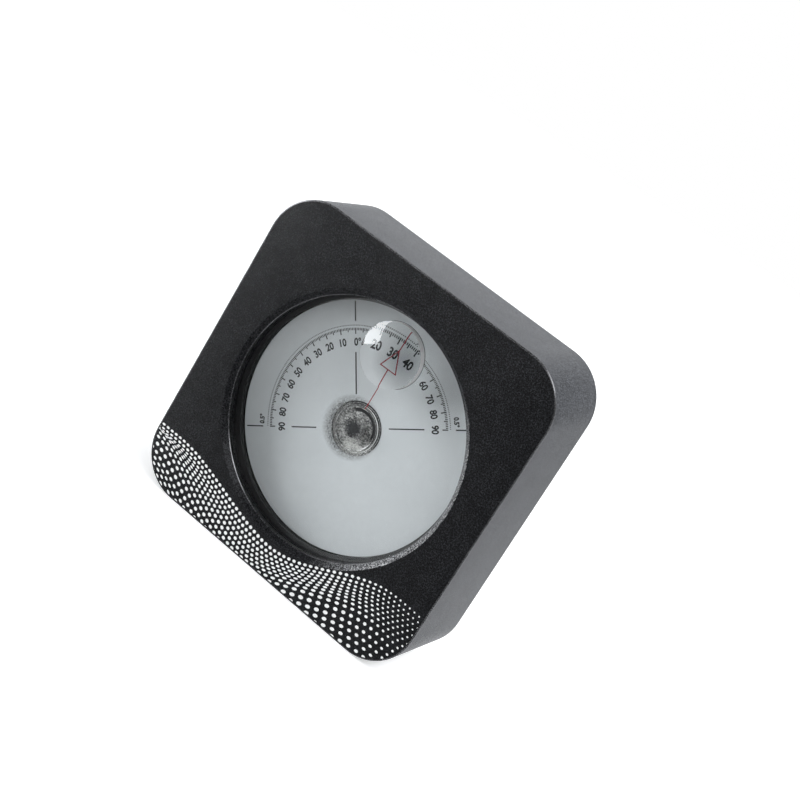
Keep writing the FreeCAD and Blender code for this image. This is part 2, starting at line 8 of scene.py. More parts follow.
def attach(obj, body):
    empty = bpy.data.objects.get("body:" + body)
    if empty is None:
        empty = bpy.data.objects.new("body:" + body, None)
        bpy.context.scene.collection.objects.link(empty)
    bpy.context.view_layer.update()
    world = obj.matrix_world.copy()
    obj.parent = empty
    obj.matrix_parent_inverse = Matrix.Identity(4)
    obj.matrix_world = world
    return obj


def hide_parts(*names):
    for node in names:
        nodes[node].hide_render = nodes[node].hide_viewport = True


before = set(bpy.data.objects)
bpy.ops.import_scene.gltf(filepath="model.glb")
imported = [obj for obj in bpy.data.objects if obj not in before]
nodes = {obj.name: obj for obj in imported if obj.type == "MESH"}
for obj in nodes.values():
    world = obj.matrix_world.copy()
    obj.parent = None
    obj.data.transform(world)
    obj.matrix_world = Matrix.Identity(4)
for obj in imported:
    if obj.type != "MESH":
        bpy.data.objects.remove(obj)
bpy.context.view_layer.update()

scene = bpy.context.scene

# ---------------------------------------------------------------------------
# Frame of the object. Sizes are in millimetres: x to the right and z up from
# the dial's axis, d back from the front face.
# ---------------------------------------------------------------------------
MM = 0.001
AXIS_Z = 40.0
FRONT_Y = -12.2
TURN = math.radians(34.8)  # the dial's zero leans this far to the left


def at(x, d, z):
    return Vector((x * MM, (FRONT_Y + d) * MM, (AXIS_Z + z) * MM))


def turned(x, z, a=TURN):
    """A point of the dial, given with its zero straight up, where the dial hangs."""
    return x * math.cos(a) - z * math.sin(a), x * math.sin(a) + z * math.cos(a)


def new_piece(name, bm, body, material, smooth_angle=30.0):
    bmesh.ops.recalc_face_normals(bm, faces=bm.faces)
    mesh = bpy.data.meshes.new(name)
    limit = math.radians(smooth_angle)
    for f in bm.faces:
        f.smooth = True
    for e in bm.edges:
        e.smooth = len(e.link_faces) == 2 and e.calc_face_angle(3.0) < limit
    bm.to_mesh(mesh)
    bm.free()
    obj = bpy.data.objects.new(name, mesh)
    scene.collection.objects.link(obj)
    obj.data.materials.append(material)
    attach(obj, body)
    return obj


# ---------------------------------------------------------------------------
# Materials
# ---------------------------------------------------------------------------
class Mat:
    """A node material with a few helpers."""

    def __init__(self, name):
        self.mat = bpy.data.materials.new(name)
        self.mat.use_nodes = True
        self.tree = self.mat.node_tree
        self.tree.nodes.clear()
        self.out = self.add("ShaderNodeOutputMaterial")
        self.coord = self.add("ShaderNodeTexCoord")

    def add(self, kind, **values):
        n = self.tree.nodes.new(kind)
        for k, v in values.items():
            setattr(n, k, v)
        return n

    def link(self, a, b):
        self.tree.links.new(a, b)

    def noise(self, scale, detail=3.0, rough=0.55, stretch=None, kind="ShaderNodeTexNoise"):
        n = self.add(kind)
        n.inputs["Scale"].default_value = scale
        if "Detail" in n.inputs:
            n.inputs["Detail"].default_value = detail
        if "Roughness" in n.inputs:
            n.inputs["Roughness"].default_value = rough
        src = self.coord.outputs["Object"]
        if stretch:
            m = self.add("ShaderNodeMapping")
            m.inputs["Scale"].default_value = stretch
            self.link(src, m.inputs["Vector"])
            src = m.outputs["Vector"]
        self.link(src, n.inputs["Vector"])
        return n

    def ramp(self, source, stops):
        r = self.add("ShaderNodeValToRGB")
        el = r.color_ramp.elements
        while len(el) < len(stops):
            el.new(0.5)
        for e, (pos, col) in zip(el, stops):
            e.position = pos
            e.color = (*col, 1.0) if len(col) == 3 else col
        self.link(source, r.inputs["Fac"])
        return r.outputs["Color"]

    def span(self, source, lo, hi, out_lo, out_hi):
        m = self.add("ShaderNodeMapRange")
        for i, v in zip((1, 2, 3, 4), (lo, hi, out_lo, out_hi)):
            m.inputs[i].default_value = v
        self.link(source, m.inputs[0])
        return m.outputs[0]

    def math(self, op, a, b=None):
        m = self.add("ShaderNodeMath", operation=op)
        for i, v in enumerate((a, b)):
            if v is None:
                continue
            if isinstance(v, (int, float)):
                m.inputs[i].default_value = v
            else:
                self.link(v, m.inputs[i])
        return m.outputs[0]

    def mix(self, fac, a, b):
        m = self.add("ShaderNodeMix", data_type="RGBA")
        for name, v in (("Factor", fac), ("A", a), ("B", b)):
            sock = [s for s in m.inputs if s.name == name and s.type == ("VALUE" if name == "Factor" else "RGBA")][0]
            if hasattr(v, "links"):
                self.link(v, sock)
            elif isinstance(v, (int, float)):
                sock.default_value = v
            else:
                sock.default_value = (*v, 1.0)
        return [s for s in m.outputs if s.type == "RGBA"][0]

    def bump(self, height, strength, distance):
        b = self.add("ShaderNodeBump")
        b.inputs["Strength"].default_value = strength
        b.inputs["Distance"].default_value = distance
        self.link(height, b.inputs["Height"])
        return b.outputs["Normal"]

    def shader(self, **values):
        p = self.add("ShaderNodeBsdfPrincipled")
        for k, v in values.items():
            sock = p.inputs[k.replace("_", " ")]
            if hasattr(v, "links"):
                self.link(v, sock)
            elif isinstance(v, (tuple, list)) and len(v) == 3:
                sock.default_value = (*v, 1.0)
            else:
                sock.default_value = v
        self.link(p.outputs["BSDF"], self.out.inputs["Surface"])
        return p


def grey(v, tint=(1.0, 1.0, 1.0)):
    return tuple(v * t for t in tint)


def plain_material(name, base, rough, metallic=0.0, grain=2500.0, vary=0.18, rough_vary=0.08, bump=0.25, depth=0.00002, ior_level=0.5, stretch=None):
    """A finish with its own grain: colour, roughness and height follow one fine noise and one coarse one."""
    m = Mat(name)
    fine = m.noise(grain, 4.0, 0.6, stretch)
    coarse = m.noise(grain * 0.12, 3.0, 0.5, stretch)
    both = m.math("ADD", m.math("MULTIPLY", fine.outputs["Fac"], 0.6), m.math("MULTIPLY", coarse.outputs["Fac"], 0.4))
    col = m.ramp(both, [(0.3, grey(1 - vary, base)), (0.7, grey(1 + vary, base))])
    m.shader(
        Base_Color=col,
        Roughness=m.span(both, 0.3, 0.7, rough - rough_vary, rough + rough_vary),
        Metallic=metallic,
        Specular_IOR_Level=ior_level,
        Normal=m.bump(fine.outputs["Fac"], bump, depth),
    )
    return m.mat


def blasted_black(name, rough=0.19, dark=0.0006, light=0.026, dust_level=0.11, patch_part=0.35, gloss=0.38, size=2500.0, relief=0.00007):
    """Black anodised aluminium with a bead-blasted skin: a dark ground, an even salt-and-pepper grain and sparse pale specks."""
    m = Mat(name)
    grain = m.noise(size, 2.0, 0.6)
    fine = m.noise(size * 2.1, 1.0, 0.5)
    patch = m.noise(260.0, 4.0, 0.65)
    pits = m.math("ADD", m.math("MULTIPLY", grain.outputs["Fac"], 0.7), m.math("MULTIPLY", fine.outputs["Fac"], 0.3))
    peaks = m.ramp(pits, [(0.42, (0, 0, 0)), (0.53, (0.35, 0.35, 0.35)), (0.63, (1, 1, 1))])
    cloud = m.span(patch.outputs["Fac"], 0.35, 0.65, 1.0 - patch_part, 1.0 + patch_part)
    base = m.mix(m.math("MULTIPLY", peaks, cloud), grey(dark, (0.93, 0.96, 1.1)), grey(light, (0.94, 0.98, 1.09)))
    specks = m.noise(1300.0, kind="ShaderNodeTexVoronoi")
    seed = m.ramp(specks.outputs["Distance"], [(0.12, (1, 1, 1)), (0.32, (0, 0, 0))])
    sparse = m.ramp(m.noise(500.0, 3.0, 0.6).outputs["Fac"], [(0.48, (0, 0, 0)), (0.64, (1, 1, 1))])
    col = m.mix(m.math("MULTIPLY", seed, sparse), base, grey(dust_level, (0.95, 0.98, 1.07)))
    m.shader(
        Base_Color=col,
        Roughness=m.span(pits, 0.38, 0.62, rough + 0.09, rough - 0.05),
        Specular_IOR_Level=gloss,
        Normal=m.bump(pits, 0.7, relief),
    )
    return m.mat


def bare_edge():
    """Where the blasting and the coat stop: the bright cut edge of the block."""
    m = Mat("cut_edge")
    wear = m.noise(420.0, 4.0, 0.6)
    grain = m.noise(4200.0, 3.0, 0.6)
    shade = m.ramp(wear.outputs["Fac"], [(0.35, (0.1, 0.1, 0.105)), (0.65, (0.2, 0.2, 0.208))])
    m.shader(Base_Color=shade, Metallic=0.85, Roughness=m.span(grain.outputs["Fac"], 0.3, 0.7, 0.2, 0.34), Normal=m.bump(grain.outputs["Fac"], 0.2, 0.00001))
    return m.mat


def reach(m, cx=0.0, cz=0.0):
    """Distance from the dial's axis, or from a line beside it, in millimetres."""
    flat = m.add("ShaderNodeVectorMath", operation="MULTIPLY_ADD")
    m.link(m.coord.outputs["Object"], flat.inputs[0])
    flat.inputs[1].default_value = (1000.0, 0.0, 1000.0)
    flat.inputs[2].default_value = (-cx, 0.0, -(AXIS_Z + cz))
    size = m.add("ShaderNodeVectorMath", operation="LENGTH")
    m.link(flat.outputs["Vector"], size.inputs[0])
    return size.outputs["Value"]


def one_side(m, lo, hi, towards=(890.0, 0.0, 456.0)):
    """0 to 1 across the axis, by the distance in millimetres towards one side."""
    dot = m.add("ShaderNodeVectorMath", operation="DOT_PRODUCT")
    flat = m.add("ShaderNodeVectorMath", operation="SUBTRACT")
    m.link(m.coord.outputs["Object"], flat.inputs[0])
    flat.inputs[1].default_value = (0.0, 0.0, AXIS_Z * MM)
    m.link(flat.outputs["Vector"], dot.inputs[0])
    dot.inputs[1].default_value = towards
    return m.span(dot.outputs["Value"], lo, hi, 0.0, 1.0)


def speckle(m, coarse_size=1500.0, fine_size=3600.0):
    coarse = m.noise(coarse_size, 4.0, 0.72)
    fine = m.noise(fine_size, 2.0, 0.6)
    return m.math("ADD", m.math("MULTIPLY", coarse.outputs["Fac"], 0.65), m.math("MULTIPLY", fine.outputs["Fac"], 0.35))


def lip_metal():
    """The turned lip: black, with fine sparkling metal painted along one side as a painted highlight, where the chamfer
    catches the light.
    """
    m = Mat("turned_lip")
    both = speckle(m, 2600.0, 5600.0)
    black = m.ramp(both, [(0.45, (0.003, 0.003, 0.004)), (0.62, (0.05, 0.051, 0.055))])
    metal = m.ramp(both, [(0.42, (0.004, 0.004, 0.005)), (0.5, (0.09, 0.091, 0.095)), (0.6, (0.52, 0.523, 0.535))])
    # painted highlight: the sparkling metal is mixed in on one side only
    painted_shading = one_side(m, 15.0, 26.0, (980.0, 0.0, -190.0))
    col = m.mix(m.math("MULTIPLY", painted_shading, m.span(both, 0.36, 0.5, 0.5, 1.0)), black, metal)
    m.shader(Base_Color=col, Metallic=0.2, Roughness=m.span(both, 0.35, 0.65, 0.24, 0.38), Specular_IOR_Level=0.1, Normal=m.bump(both, 0.3, 0.00003))
    return m.mat


def clear_material(name, tint, ior):
    """Clear moulding that lets lamps reach what is behind it."""
    m = Mat(name)
    haze = m.noise(900.0, 2.0, 0.5)
    g = m.add("ShaderNodeBsdfGlass")
    g.inputs["IOR"].default_value = ior
    m.link(m.ramp(haze.outputs["Fac"], [(0.3, grey(0.985, tint)), (0.7, tint)]), g.inputs["Color"])
    m.link(m.span(haze.outputs["Fac"], 0.35, 0.75, 0.0, 0.005), g.inputs["Roughness"])
    path = m.add("ShaderNodeLightPath")
    clear = m.add("ShaderNodeBsdfTransparent")
    clear.inputs["Color"].default_value = (0.96, 0.96, 0.96, 1.0)
    mix = m.add("ShaderNodeMixShader")
    m.link(m.math("MAXIMUM", path.outputs["Is Shadow Ray"], path.outputs["Is Diffuse Ray"]), mix.inputs[0])
    m.link(g.outputs["BSDF"], mix.inputs[1])
    m.link(clear.outputs["BSDF"], mix.inputs[2])
    m.link(mix.outputs["Shader"], m.out.inputs["Surface"])
    return m.mat


BLACK = blasted_black("black_anodised", 0.19, 0.003, 0.032, 0.2, 0.35, 0.2, 2700.0, 0.00019)
# painted light: the sides get a lighter copy of the face's black, for the sheen they catch
SIDES_PAINTED_LIGHTER = blasted_black("black_anodised_sides_painted_lighter", 0.3, 0.036, 0.162, 0.25, 0.25, 0.14, 2700.0, 0.00018)
# painted shade: the bore gets a darker copy of the face's black
BORE_PAINTED_DARKER = blasted_black("black_anodised_bore_painted_darker", 0.3, 0.0004, 0.01, 0.02, 0.2, 0.3)
LIP = lip_metal()
EDGE_METAL = bare_edge()
RUBBER = plain_material("black_rubber", (0.018, 0.018, 0.019), 0.55, grain=3500.0, vary=0.25)
PLASTIC = plain_material("capsule_plastic", (0.03, 0.03, 0.032), 0.5, grain=2600.0)
SCREW = plain_material("screw_black_oxide", (0.06, 0.06, 0.066), 0.34, metallic=0.9, grain=4200.0)
BRASS = plain_material("turned_brass", (0.72, 0.52, 0.24), 0.3, metallic=1.0, grain=1800.0, stretch=(1.0, 6.0, 1.0))
JEWEL = plain_material("ruby_jewel", (0.5, 0.03, 0.1), 0.08, grain=800.0, vary=0.1, rough_vary=0.03, bump=0.03)
STEEL = plain_material("ground_steel", (0.52, 0.52, 0.54), 0.28, metallic=1.0, grain=3800.0, stretch=(1.0, 8.0, 1.0))
RED = plain_material("red_ink", (0.3, 0.006, 0.02), 0.45, grain=5200.0, vary=0.15, bump=0.1)
PRINT = plain_material("black_print", (0.006, 0.006, 0.007), 0.5, grain=6000.0, vary=0.35, bump=0.1)
DOTS = plain_material("white_ink", (0.94, 0.94, 0.94), 0.5, grain=3800.0, vary=0.06, bump=0.2)
CLEAR = clear_material("clear_cover", (0.985, 0.992, 0.992), 1.586)
WETTED = clear_material("clear_wetted", (0.99, 0.995, 0.995), 1.15)


def hub_material(name="blasted_hub", painted_side=None):
    """Sand-blasted hub: salt-and-pepper grey, with a painted shade darker towards the bearing and painted light patches
    below it.

    With painted_side = (colour, metallic, roughness, direction) it is a turned step painted in that colour on that side
    and blasted on the other: a painted highlight where the colour is white, a painted shadow where it is black.
    """
    m = Mat(name)
    both = speckle(m, 2000.0)
    grain = m.ramp(both, [(0.4, (0.04, 0.04, 0.04)), (0.5, (0.27, 0.27, 0.265)), (0.6, (0.72, 0.72, 0.7))])
    # painted shade: the hub darkens towards the bearing, its centre shifted to one side
    painted_bearing_shade = m.span(m.math("ADD", reach(m, -0.7, -0.4), m.math("MULTIPLY", both, 3.0)), 3.3, 4.4, 1.0, 0.0)
    col = m.mix(painted_bearing_shade, grain, (0.006, 0.006, 0.007))
    # painted light: two pale patches below the bearing
    patches = m.math("MAXIMUM", m.span(reach(m, 0.1, -3.9), 0.7, 2.0, 1.0, 0.0), m.span(reach(m, 2.0, -3.5), 0.5, 1.7, 1.0, 0.0))
    painted_light_patches = m.math("MULTIPLY", patches, m.span(both, 0.4, 0.58, 0.3, 1.0))
    col = m.mix(painted_light_patches, col, (0.74, 0.74, 0.71))
    rough = m.span(both, 0.3, 0.7, 0.4, 0.62)
    metal = 0.1
    if painted_side:
        tone, metallic, smooth, towards = painted_side
        # one side gets the given colour: white makes a painted highlight, black a painted shadow
        side = one_side(m, 0.6, 2.0, towards)
        col = m.mix(side, col, tone)
        rough = m.add("ShaderNodeMapRange").outputs[0]
        rough.node.inputs[3].default_value, rough.node.inputs[4].default_value = 0.55, smooth
        m.link(side, rough.node.inputs[0])
        metal = m.math("MULTIPLY", side, metallic)
    m.shader(Base_Color=col, Metallic=metal, Roughness=rough, Normal=m.bump(both, 0.5 if not painted_side else 0.15, 0.00005))
    return m.mat


def bush_material():
    """Blackened bearing bush under a rubbed grey skin that thickens outwards."""
    m = Mat("blackened_bush")
    both = speckle(m, 1900.0)
    r = reach(m)
    skin = m.span(m.math("ADD", r, m.math("MULTIPLY", both, 4.2)), 3.4, 4.7, 0.0, 1.0)
    grain = m.ramp(both, [(0.4, (0.03, 0.03, 0.03)), (0.6, (0.42, 0.42, 0.41))])
    ground = m.ramp(both, [(0.4, (0.003, 0.003, 0.004)), (0.62, (0.03, 0.03, 0.034))])
    m.shader(Base_Color=m.mix(skin, ground, grain), Metallic=0.1, Roughness=m.span(both, 0.3, 0.7, 0.35, 0.55), Normal=m.bump(both, 0.7, 0.00006))
    return m.mat


def dial_material():
    """Matt pale grey paint, with a speckled painted shade round the middle hole, heavier towards one side."""
    m = Mat("dial_paint")
    fine = m.noise(5200.0, 4.0, 0.6)
    cloud = m.noise(90.0, 3.0, 0.5)
    both = m.math("ADD", m.math("MULTIPLY", fine.outputs["Fac"], 0.35), m.math("MULTIPLY", cloud.outputs["Fac"], 0.65))
    col = m.ramp(both, [(0.32, (0.72, 0.755, 0.772)), (0.68, (0.77, 0.803, 0.82))])
    dots = speckle(m, 2500.0, 5200.0)
    # painted shade: a dark speckled halo round the middle hole, its centre shifted to one side
    near = m.span(reach(m, -1.05, -0.6), 5.9, 7.7, 1.0, 0.0)
    painted_shading = m.math("MULTIPLY", near, m.span(dots, 0.38, 0.6, 1.25, 0.2))
    col = m.mix(m.math("MINIMUM", painted_shading, 1.0), col, (0.12, 0.12, 0.12))
    m.shader(Base_Color=col, Roughness=m.span(fine.outputs["Fac"], 0.3, 0.7, 0.5, 0.62), Normal=m.bump(fine.outputs["Fac"], 0.12, 0.00002))
    return m.mat


def lens_material():
    """The thick part of the moulding, its glass colour darker towards one side: a painted shade for the shadow the lens
    casts on the dial beneath it.
    """
    m = Mat("clear_lens")
    haze = m.noise(900.0, 2.0, 0.5)
    g = m.add("ShaderNodeBsdfGlass")
    g.inputs["IOR"].default_value = 1.586
    # painted shade: the glass darkens towards a point right of the lens's centre
    far = m.math("ADD", m.span(reach(m, 4.2, 21.2), 1.2, 8.2, 0.0, 1.0), m.math("MULTIPLY", haze.outputs["Fac"], 0.02))
    m.link(m.ramp(far, [(0.0, (0.55, 0.56, 0.57)), (0.45, (0.76, 0.77, 0.77)), (1.0, (0.99, 0.995, 0.995))]), g.inputs["Color"])
    m.link(m.span(haze.outputs["Fac"], 0.35, 0.75, 0.0, 0.004), g.inputs["Roughness"])
    m.link(g.outputs["BSDF"], m.out.inputs["Surface"])
    return m.mat


def frosted_material(name, shade, part, rough, painted_shade_left=None):
    """Ground plastic: it scatters light at its skin and lets some through. With painted_shade_left it is darker on the
    window's left, a painted shade.
    """
    m = Mat(name)
    haze = m.noise(2400.0, 3.0, 0.6)
    skin = m.add("ShaderNodeBsdfDiffuse")
    col = m.ramp(haze.outputs["Fac"], [(0.3, grey(shade * 0.9)), (0.7, grey(min(1.0, shade * 1.08)))])
    if painted_shade_left is not None:
        col = m.mix(one_side(m, -4.0, 18.0, (830.0, 0.0, 560.0)), grey(painted_shade_left), col)
    m.link(col, skin.inputs["Color"])
    glass = m.add("ShaderNodeBsdfGlass")
    glass.inputs["IOR"].default_value = 1.586
    glass.inputs["Color"].default_value = (0.97, 0.98, 0.98, 1.0)
    m.link(m.span(haze.outputs["Fac"], 0.3, 0.7, rough, rough + 0.15), glass.inputs["Roughness"])
    mix = m.add("ShaderNodeMixShader")
    mix.inputs[0].default_value = part
    m.link(glass.outputs["BSDF"], mix.inputs[1])
    m.link(skin.outputs["BSDF"], mix.inputs[2])
    m.link(mix.outputs["Shader"], m.out.inputs["Surface"])
    return m.mat


LENS = lens_material()
WALL = frosted_material("ground_lens_wall", 0.97, 0.88, 0.3)
# painted shade: the clear plug's rounded rim is dark on its left side
RIM = frosted_material("ground_cover_rim", 0.3, 0.93, 0.25, 0.012)
# painted shade: a dark grey ring round the lens's foot
FOOT = plain_material("lens_foot_painted_shade", (0.11, 0.115, 0.12), 0.5, grain=3000.0)
DARK_BRASS = bush_material()
HUB = hub_material()
# painted highlight: a white side on the step; painted shadow: a black side on the thin rings
STEP_PAINTED_HIGHLIGHT = hub_material("step_painted_highlight", ((0.98, 0.98, 0.97), 0.0, 0.2, (890.0, 0.0, 456.0)))
STEP_PAINTED_SHADOW = hub_material("step_painted_shadow", ((0.004, 0.004, 0.005), 0.0, 0.4, (420.0, 0.0, 907.0)))
DIAL = dial_material()

FINISH = {
    "body_frame": BLACK,
    "rear_cover": BLACK,
    "rear_cover_screws": SCREW,
    "index_mark": RED,
    "cover_gasket": RUBBER,
    "capsule_base": PLASTIC,
    "capsule_cushion": RUBBER,
    "front_bearing_bush": DARK_BRASS,
    "front_jewel": JEWEL,
    "rear_bearing_screw": BRASS,
    "rear_jewel": JEWEL,
    "expansion_diaphragm": RUBBER,
    "diaphragm_ring": BRASS,
    "filler_plug": BRASS,
    "filler_washer": RUBBER,
    "dial_disc": DIAL,
    "dial_hub": HUB,
    "dial_arbor": STEEL,
    "dial_weight": BRASS,
    "capsule_cover": CLEAR,
    "magnifier_lens": LENS,
}
for name, mat in FINISH.items():
    node = nodes[name]
    node.data.materials.clear()
    node.data.materials.append(mat)

# ---------------------------------------------------------------------------
# Loops and outlines
# ---------------------------------------------------------------------------
def ring(bm, r, d, cx, cz, count):
    return [bm.verts.new(at(cx + r * math.sin(2 * math.pi * k / count), d, cz + r * math.cos(2 * math.pi * k / count))) for k in range(count)]


def bridge(bm, a, b, index=0):
    n = len(a)
    for k in range(n):
        f = bm.faces.new((a[k], a[(k + 1) % n], b[(k + 1) % n], b[k]))
        f.material_index = index


def cap(bm, loop, centre, index=0):
    c = bm.verts.new(centre)
    n = len(loop)
    for k in range(n):
        f = bm.faces.new((loop[k], loop[(k + 1) % n], c))
        f.material_index = index


def plate(bm, loops, index=0):
    """A flat face between an outer loop and the loops inside it."""
    edges = []
    for loop in loops:
        n = len(loop)
        for k in range(n):
            edges.append(bm.edges.get((loop[k], loop[(k + 1) % n])) or bm.edges.new((loop[k], loop[(k + 1) % n])))
    made = bmesh.ops.triangle_fill(bm, edges=edges, use_beauty=True, use_dissolve=False)
    for g in made["geom"]:
        if isinstance(g, bmesh.types.BMFace):
            g.material_index = index


def rounded(points, steps=5):
    """An open outline of (r, d, radius, index) points with its corners rounded. Gives (r, d, index) points."""
    out = []
    for i, (r, d, rad, idx) in enumerate(points):
        if rad <= 0 or i in (0, len(points) - 1):
            out.append((r, d, idx))
            continue
        p = Vector((r, d))
        u = (Vector(points[i - 1][:2]) - p)
        v = (Vector(points[i + 1][:2]) - p)
        half = u.angle(v) / 2
        cut = min(rad / math.tan(half), u.length * 0.48, v.length * 0.48)
        rr = cut * math.tan(half)
        u.normalize()
        v.normalize()
        centre = p + (u + v).normalized() * (rr / math.sin(half))
        start, end = p + u * cut - centre, p + v * cut - centre
        first = math.atan2(start.y, start.x)
        sweep = (math.atan2(end.y, end.x) - first + math.pi) % (2 * math.pi) - math.pi
        for k in range(steps + 1):
            a = first + sweep * k / steps
            out.append((centre.x + rr * math.cos(a), centre.y + rr * math.sin(a), idx))
    return out


def lathe(bm, outline, count, cx=0.0, cz=0.0):
    """Loops along an outline of (r, d, index) points. A face takes the index of its second point."""
    loops = [ring(bm, r, d, cx, cz, count) for r, d, _ in outline]
    for (a, b), (_, _, idx) in zip(zip(loops, loops[1:]), outline[1:]):
        bridge(bm, a, b, idx)
    return loops


def square_ring(bm, half, radius, d, seg=16):
    """A rounded square, clockwise seen from the front."""
    c = half - radius
    loop = []
    for q, (sx, sz) in enumerate(((1, 1), (1, -1), (-1, -1), (-1, 1))):
        for k in range(seg + 1):
            a = math.pi / 2 * (q + k / seg)
            loop.append(bm.verts.new(at(sx * c + radius * math.sin(a), d, sz * c + radius * math.cos(a))))
    return loop


# ---------------------------------------------------------------------------
# Body: the block with its window, turned lip, pocket and rear recess.
# ---------------------------------------------------------------------------
DEPTH = 24.4
LIP_D = 3.9
SKIN = 0.008  # thickness of the white print, whose top is the block's front plane


def block_body():
    bm = bmesh.new()
    e, n = 0.35, 6
    outer = []
    for k in range(n + 1):
        t = math.pi / 2 * k / n
        outer.append((e * (1 - math.sin(t)), SKIN + (e - SKIN) * (1 - math.cos(t))))
    for k in range(n + 1):
        t = math.pi / 2 * k / n
        outer.append((e * (1 - math.cos(t)), DEPTH - e * (1 - math.sin(t))))
    loops = [square_ring(bm, 40 - i, 12 - i, d) for i, d in outer]
    for k, (a, b) in enumerate(zip(loops, loops[1:])):
        bridge(bm, a, b, 2 if k == n else 4)
    recess_top = square_ring(bm, 36.0, 8.0, DEPTH)
    recess_low = square_ring(bm, 36.0, 8.0, DEPTH - 2.6)
    bridge(bm, loops[-1], recess_top)
    bridge(bm, recess_top, recess_low)
    outline = rounded(
        [
            (31.25, SKIN, 0, 0),
            (31.1, SKIN, 0.1, 1),
            (30.03, 1.07, 0, 1),
            (29.96, 1.14, 0.03, 4),
            (29.9, 1.21, 0.03, 4),
            (29.9, 2.46, 0.04, 3),
            (30.1, 2.5, 0.04, 3),
            (30.1, 2.75, 0.04, 3),
            (29.9, 2.79, 0.04, 1),
            (29.9, 2.95, 0, 1),
            (29.9, LIP_D, 0, 3),
            (31.8, LIP_D, 0, 3),
            (31.8, DEPTH - 2.6, 0, 3),
        ]
    )
    window = lathe(bm, outline, 288)
    plate(bm, (loops[0], window[0]))
    holes = []
    for sx in (-1, 1):
        for sz in (-1, 1):
            top = ring(bm, 1.5, DEPTH - 2.6, 29.5 * sx, 29.5 * sz, 24)
            low = ring(bm, 1.5, DEPTH - 10.1, 29.5 * sx, 29.5 * sz, 24)
            bridge(bm, top, low)
            cap(bm, low, at(29.5 * sx, DEPTH - 10.1, 29.5 * sz))
            holes.append(top)
    plate(bm, [recess_low, window[-1]] + holes)
    obj = new_piece("block_body", bm, "housing", BLACK, 28.0)
    # the sides take a lighter copy of the black (painted light), the bore a darker one (painted shade)
    for extra in (LIP, SIDES_PAINTED_LIGHTER, BORE_PAINTED_DARKER, EDGE_METAL):
        obj.data.materials.append(extra)
    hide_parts("body_frame")
    return obj


block_body()

# ---------------------------------------------------------------------------
# Clear front: the cover, its boss and its magnifier are one clear moulding.
# Its rear is wetted by the liquid, so it bends light less there.
# ---------------------------------------------------------------------------
COVER_D = LIP_D
LENS_Z = 20.05
LENS_BASE_R, LENS_RIM_R = 7.45, 7.58
LENS_RIM_D, LENS_CREST_D, LENS_ROUND = 1.72, 0.04, 0.16
DOME_R = 17.5
BOSS_FILLET = 1.3


def clear_front():
    bm = bmesh.new()
    outline = rounded(
        [
            (29.88, COVER_D, 0, 0),
            (29.95, COVER_D + 0.02, 0, 0),
            (31.6, COVER_D + 0.02, 0, 0),
            (31.6, COVER_D + 0.88, 0, 0),
            (28.8, COVER_D + 0.88, 0, 0),
            (28.8, COVER_D + 2.9, 0, 5),
            (28.8, COVER_D + 3.4, 0.14, 5),
            (5.1, COVER_D + 3.4, BOSS_FILLET, 2),
            (5.1, COVER_D + 5.9, 0.25, 2),
            (2.13, COVER_D + 5.9, 0, 2),
            (2.13, COVER_D + 3.18, 0, 2),
        ],
        10,
    )
    loops = lathe(bm, outline, 288)
    cap(bm, loops[-1], at(0, COVER_D + 3.18, 0), 2)
    foot = [(LENS_BASE_R + 0.17, COVER_D, 4), (LENS_BASE_R + 0.15, COVER_D - 0.02, 4), (LENS_BASE_R + 0.04, COVER_D - 0.05, 4), (LENS_BASE_R, COVER_D - 0.1, 3)]
    wall = [(LENS_RIM_R, LENS_RIM_D + LENS_ROUND, 3)]
    centre_d = LENS_CREST_D + DOME_R
    fall = math.asin((LENS_RIM_R - LENS_ROUND) / DOME_R)
    arc = []
    for k in range(1, 6):  # small round between the side and the dome
        t = math.pi / 2 * k / 6
        arc.append((LENS_RIM_R - LENS_ROUND * (1 - math.cos(t)), LENS_RIM_D + LENS_ROUND * (1 - math.sin(t)), 1))
    dome = []
    steps = 26
    for k in range(steps, 0, -1):
        a = fall * k / steps
        dome.append((DOME_R * math.sin(a), centre_d - DOME_R * math.cos(a), 1))
    lens = lathe(bm, foot + wall + arc + dome, 144, 0, LENS_Z)
    cap(bm, lens[-1], at(0, LENS_CREST_D, LENS_Z), 1)
    plate(bm, (loops[0], lens[0]))
    obj = new_piece("clear_front", bm, "housing", CLEAR, 32.0)
    for extra in (LENS, WETTED, WALL, FOOT, RIM):
        obj.data.materials.append(extra)
    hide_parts("capsule_cover", "magnifier_lens")
    return obj


clear_front()


# ---------------------------------------------------------------------------
# Hub: plate with a shallow dish, a step round it with a painted highlight on one side, thin rings with a painted shadow
# on one side, and a sleeve.
# ---------------------------------------------------------------------------
HUB_D = 10.2


